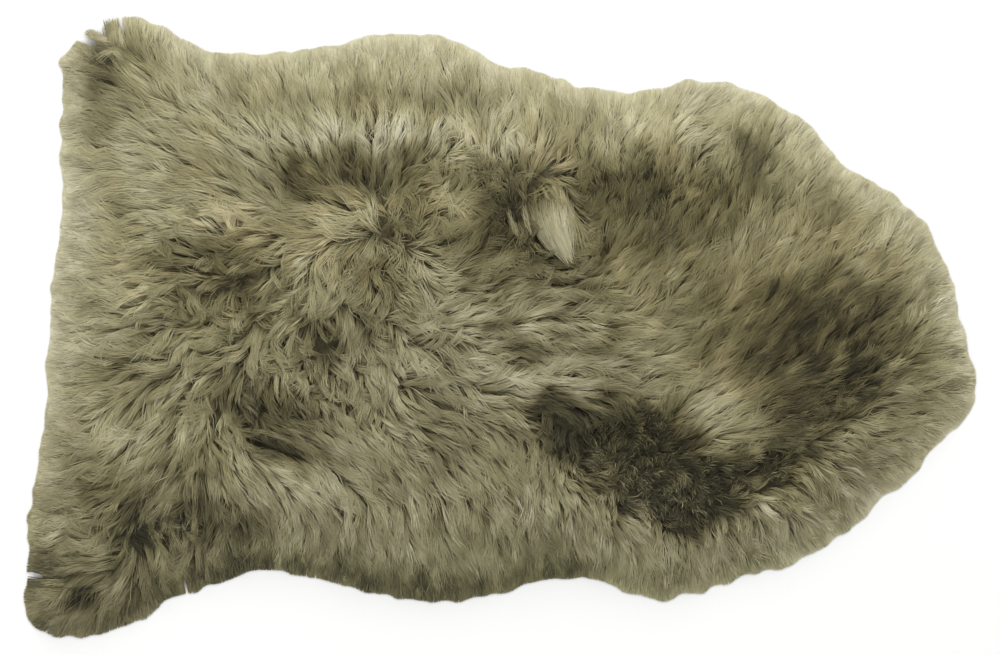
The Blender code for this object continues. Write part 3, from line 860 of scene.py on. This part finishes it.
def clear_of_gaps(paths):
    """Which strands cross none of the table GAPS."""
    parts = np.linspace(0, 1, 4)[:-1, None, None, None]
    between = (paths[None, :, :-1] * (1 - parts) + paths[None, :, 1:] * parts)[..., :2]
    clear = np.ones(len(paths), bool)
    for (x0, y0), (x1, y1), half in GAPS.values():
        start, line = np.array((x0, y0)) * MM, np.array((x1 - x0, y1 - y0)) * MM
        part = np.clip(((between - start) @ line) / (line @ line), 0, 1)
        away = np.linalg.norm(between - start - part[..., None] * line, axis=-1)
        clear &= (away > half * MM).all((0, 2))
    return clear


def pelt_normals(xy):
    """The way the pelt's own surface faces, without its locks."""
    smooth = softened(wool_height, FACING_SOFTENED)
    rises = [read(slope, xy) for slope in np.gradient(smooth, CELL)]
    return unit(np.stack((-rises[0], -rises[1], np.ones(rises[0].shape)), -1), 0)


def in_pairs(left, right, last):
    """For each strand left and right by turns, and the last one at its tip."""
    pairs = np.stack((left[:, :-1], right[:, :-1]), 2).reshape(len(left), -1, 3)
    return np.concatenate((pairs, last[:, -1:]), 1)


def ribbons(name, paths, shade, width, tilt, tint):
    """One mesh of tapered ribbons along the paths, each rolled a little about its own line. A
    lock shades as one round thing, because its ribbons face away from its middle (tilt)."""
    count, sections = paths.shape[:2]
    tangent = unit(np.gradient(paths, axis=1), 1e-12)
    across = np.stack((-tangent[..., 1], tangent[..., 0], np.zeros(tangent.shape[:2])), -1)
    across = unit(across, 1e-12)
    over = np.cross(tangent, across)
    roll = rng.normal(0, ROLL, count)[:, None, None]
    side = across * np.cos(roll) + over * np.sin(roll)
    facing = over * np.cos(roll) - across * np.sin(roll)
    sideways = (across[..., :2] * tilt[:, None]).sum(-1, keepdims=True) * across
    facing = OWN_FACING * facing + (1 - OWN_FACING) * pelt_normals(paths[..., :2])
    facing = unit(facing + LOCK_ROUNDING * sideways, 0)

    half = side * (np.interp(SECTIONS, *TAPER)[None, :, None] * width[:, None, None] / 2)
    points = in_pairs(paths - half, paths + half, paths)
    level = facing * math.cos(math.radians(ROUNDING))
    outward = side * math.sin(math.radians(ROUNDING))
    normals = in_pairs(level - outward, level + outward, facing)

    each = points.shape[1]
    quads = [(2 * k, 2 * k + 2, 2 * k + 3, 2 * k + 1) for k in range(sections - 2)]
    tip = (2 * (sections - 2), each - 1, 2 * (sections - 2) + 1)
    corners_one = np.array(sum(quads, ()) + tip)
    starts_one = 4 * np.arange(sections - 1)
    corners = (np.arange(count)[:, None] * each + corners_one).ravel()
    starts = (np.arange(count)[:, None] * len(corners_one) + starts_one).ravel()

    mesh = bpy.data.meshes.new(name)
    mesh.vertices.add(count * each)
    mesh.vertices.foreach_set("co", points.astype(np.float32).ravel())
    mesh.loops.add(len(corners))
    mesh.loops.foreach_set("vertex_index", corners.astype(np.int32))
    mesh.polygons.add(len(starts))
    mesh.polygons.foreach_set("loop_start", starts.astype(np.int32))

    # Across the map goes the shade, and up it the tint's band and the way along the strand.
    shade = np.clip(shade, 0.02, 0.98)
    edges = np.repeat(shade[:, :-1], 2, axis=1) + np.tile((-EDGE_SHADE, EDGE_SHADE), sections - 1)
    u = np.concatenate((edges, shade[:, -1:]), 1)
    v = np.concatenate((np.repeat(SECTIONS[:-1], 2), SECTIONS[-1:]))
    v = (tint[:, None] + 0.02 + 0.96 * v) / len(TINT_COLOURS)
    uv = np.stack((u, v), -1).reshape(-1, 2)[corners]
    layer = mesh.uv_layers.new(name=UV_MAP)
    layer.uv.foreach_set("vector", uv.astype(np.float32).ravel())
    mesh.update(calc_edges=True)
    mesh.polygons.foreach_set("use_smooth", np.ones(len(starts), bool))
    mesh.normals_split_custom_set_from_vertices(normals.reshape(-1, 3).astype(np.float32))
    return in_scene(bpy.data.objects.new(name, mesh))


# ---- materials ----


def wired(node, **inputs):
    """The node with these values or sockets at its inputs. In a name _ stands for a space."""
    for name, value in inputs.items():
        socket = node.inputs[name.replace("_", " ")]
        if isinstance(value, bpy.types.NodeSocket):
            node.id_data.links.new(value, socket)
        else:
            socket.default_value = value
    return node


def new_node(tree, kind, **inputs):
    return wired(tree.nodes.new("ShaderNode" + kind), **inputs)


def new_material(name):
    material = bpy.data.materials.new(name)
    material.use_nodes = True
    return material, material.node_tree, material.node_tree.nodes["Principled BSDF"]


def ramp(tree, place, stops, between="LINEAR"):
    node = new_node(tree, "ValToRGB", Fac=place)
    node.color_ramp.interpolation = between
    elements = node.color_ramp.elements
    while len(elements) > 1:
        elements.remove(elements[-1])
    for k, (position, colour) in enumerate(stops):
        element = elements[0] if k == 0 else elements.new(position)
        element.position = position
        element.color = (*colour, 1)
    return node.outputs["Color"]


def multiplied(tree, first, second):
    mix = tree.nodes.new("ShaderNodeMix")
    mix.data_type, mix.blend_type = "RGBA", "MULTIPLY"
    return wired(mix, Factor=1.0, A=first, B=second).outputs["Result"]


def noise(tree, place, scale, detail):
    return new_node(tree, "TexNoise", Vector=place, Scale=scale, Detail=detail).outputs["Fac"]


def wool_material():
    """Across the map a strand's shade, which holds painted light and shade. Up the map one band for
    each tint, and in each band the way from the root to the tip, darker at the root partly as
    painted shade."""
    material, tree, shader = new_material("wool")
    place = new_node(tree, "UVMap")
    place.uv_map = UV_MAP
    split = new_node(tree, "SeparateXYZ", Vector=place.outputs["UV"]).outputs
    bands = new_node(tree, "Math", Value=split["Y"])
    bands.operation = "MULTIPLY"
    bands.inputs[1].default_value = len(TINT_COLOURS)
    part = new_node(tree, "Math", Value=bands.outputs[0])
    part.operation = "FRACT"
    shade = ramp(tree, split["X"], SHADE_COLOURS)
    along = ramp(tree, part.outputs[0], ALONG_COLOURS)
    tints = [(k / len(TINT_COLOURS), colour) for k, colour in enumerate(TINT_COLOURS)]
    tint = ramp(tree, split["Y"], tints, "CONSTANT")
    colour = multiplied(tree, multiplied(tree, shade, along), tint)
    wired(shader, Base_Color=colour, Roughness=0.62, Specular_IOR_Level=0.22)
    wired(shader, Sheen_Weight=0.12, Sheen_Roughness=0.5)
    return material


def underwool_painted_shade_material():
    material, tree, shader = new_material("underwool")
    place = new_node(tree, "TexCoord").outputs["Object"]
    colour = ramp(tree, noise(tree, place, 420, 5), UNDER_PAINTED_SHADE_COLOURS)
    # Its dark colour is painted shade of the deep pile. Low down, where it shows from below round
    # the skin, it is as pale as the wool.
    height = new_node(tree, "SeparateXYZ", Vector=place).outputs["Z"]
    height = new_node(tree, "MapRange", Value=height, From_Min=0.003, From_Max=0.008)
    paler = ramp(tree, height.outputs["Result"], PALER_BELOW)
    wired(shader, Base_Color=multiplied(tree, colour, paler), Roughness=0.95)
    return material


def suede_material():
    """Cloudy tanned colour, and the nap of the flesh side as bump."""
    material, tree, shader = new_material("suede")
    place = new_node(tree, "TexCoord").outputs["Object"]
    colour = ramp(tree, noise(tree, place, 14, 6), SUEDE_COLOURS)
    nap = noise(tree, place, 900, 4)
    bump = new_node(tree, "Bump", Height=nap, Strength=0.35, Distance=0.0006)
    wired(shader, Base_Color=colour, Normal=bump.outputs["Normal"])
    wired(shader, Roughness=0.92, Sheen_Weight=0.25)
    return material


# ---- pieces ----


def in_scene(obj):
    bpy.context.scene.collection.objects.link(obj)
    return obj


def field_surface(name, cell, least_depth, height_at, underside):
    """A closed body over the part of the pelt that lies so deep inside the rim: a top whose
    height a function gives, and a flat underside."""
    columns = np.arange(low.x, high.x + cell, cell)
    rows = np.arange(low.y, high.y + cell, cell)
    x, y = np.meshgrid(columns, rows, indexing="ij")
    places = np.stack((x, y), -1)
    depth = read(rim_depth, places)
    # Cells at the edge are pulled onto the edge line, so that it runs smoothly.
    slope = unit(np.stack(np.gradient(depth, cell), -1))
    places += slope * np.clip(least_depth - depth, 0, cell * 1.5)[..., None]
    used = depth > least_depth - cell * 1.2
    bm = bmesh.new()
    verts = {}
    heights = height_at(places)
    for i, j in zip(*np.nonzero(used), strict=True):
        verts[i, j] = bm.verts.new((*places[i, j], heights[i, j]))
    for i, j in verts:
        ring = ((i, j), (i + 1, j), (i + 1, j + 1), (i, j + 1))
        if all(key in verts for key in ring):
            bm.faces.new([verts[key] for key in ring])
    bmesh.ops.delete(bm, geom=[v for v in bm.verts if not v.link_faces], context="VERTS")
    edge = [e for e in bm.edges if e.is_boundary]
    walls = bmesh.ops.extrude_edge_only(bm, edges=edge)["geom"]
    for vert in (g for g in walls if isinstance(g, bmesh.types.BMVert)):
        vert.co.z = underside
    bmesh.ops.edgeloop_fill(bm, edges=[e for e in bm.edges if e.is_boundary])
    bmesh.ops.recalc_face_normals(bm, faces=bm.faces)
    mesh = bpy.data.meshes.new(name)
    bm.to_mesh(mesh)
    bm.free()
    mesh.shade_smooth()
    for face in mesh.polygons:
        face.use_smooth = face.normal.z > -0.9
    return in_scene(bpy.data.objects.new(name, mesh))


def underwool():
    def height(places):
        rise = step(read(rim_depth, places), UNDER_INSET, UNDER_RISES)
        full = read(wool_height, places) * UNDER_SHARE
        rough = 1 + 0.10 * waves(places, 0.004, 5) + 0.08 * waves(places, 0.009, 6)
        return UNDER_EDGE + (full * rough - UNDER_EDGE) * np.sqrt(rise)

    piece = field_surface("underwool", UNDER_CELL, UNDER_INSET, height, UNDER_BELOW)
    piece.data.materials.append(underwool_painted_shade_material())
    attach(piece, "root")
    return piece


def long_wool():
    """All the strands, as one piece for each stretch of the pelt's length."""
    kinds = (rim_wool(), undercoat(), lock_wool())
    pelt_shade = shade_over_pelt()
    wool = {name: np.concatenate([kind[name] for kind in kinds]) for name in kinds[0]}
    strands = named_locks(pelt_shade)
    named = len(strands[0])
    kept = rng.permutation(len(wool["root"]))[: STRANDS - named]
    wool = {name: values[kept] for name, values in wool.items()}
    paths = strand_paths(wool)
    around = read(pelt_shade, paths[..., :2])
    shade = (1 - FOLLOWS) * wool["local"][:, None] + FOLLOWS * around + wool["shade"][:, None]
    shade += wool["wisp"][:, None] * SECTIONS
    others = [paths, shade, *(wool[name] for name in ("width", "tilt", "tint"))]
    strands = [np.concatenate(both) for both in zip(strands, others, strict=True)]
    clear = clear_of_gaps(strands[0])
    clear[:named] = True
    strands = [values[clear] for values in strands]
    material = wool_material()
    order = np.argsort(strands[0][:, 0, 0], kind="stable")
    pieces = []
    for k, chosen in enumerate(np.array_split(order, PIECES), 1):
        piece = ribbons(f"wool_{k}", *(values[chosen] for values in strands))
        piece.data.materials.append(material)
        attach(piece, "root")
        pieces.append(piece)
    return pieces


def skin():
    def height(places):
        return SKIN_THICK + SKIN_UNEVEN * waves(places, 0.02, 8)

    piece = field_surface("skin", SKIN_CELL, SKIN_INSET, height, 0.0)
    piece.data.materials.append(suede_material())
    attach(piece, "root")


# ---- scene ----


def floor():
    bpy.ops.mesh.primitive_plane_add(size=FLOOR_SIZE, location=(0, 0, FLOOR_LEVEL))
    plane = bpy.context.object
    plane.name = "floor"
    material, _, shader = new_material("floor")
    wired(shader, Base_Color=(0.86, 0.86, 0.85, 1), Roughness=0.9)
    plane.data.materials.append(material)


def studio():
    world = bpy.data.worlds.new("studio")
    bpy.context.scene.world = world
    world.use_nodes = True
    background = world.node_tree.nodes["Background"]
    wired(background, Color=(1.0, 1.0, 1.0, 1), Strength=WORLD_STRENGTH)
    for name, (place, size, power) in LIGHTS.items():
        data = bpy.data.lights.new(name, "AREA")
        data.shape, data.size, data.energy = "DISK", size, power
        lamp = in_scene(bpy.data.objects.new(name, data))
        lamp.location = place
        lamp.rotation_euler = (-Vector(place)).to_track_quat("-Z", "Y").to_euler()


def camera():
    data = bpy.data.cameras.new("camera")
    data.lens = CAMERA_LENS
    data.sensor_width = SENSOR_WIDTH
    seen = in_scene(bpy.data.objects.new("camera", data))
    seen.location = (*FRAME_CENTRE, FRAME_WIDTH * CAMERA_LENS / SENSOR_WIDTH + CAMERA_RAISED)
    bpy.context.scene.camera = seen


bpy.context.scene.view_settings.view_transform = "Standard"
camera()
studio()
floor()
body = underwool()
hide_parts("pelt")
wool = long_wool()
skin()
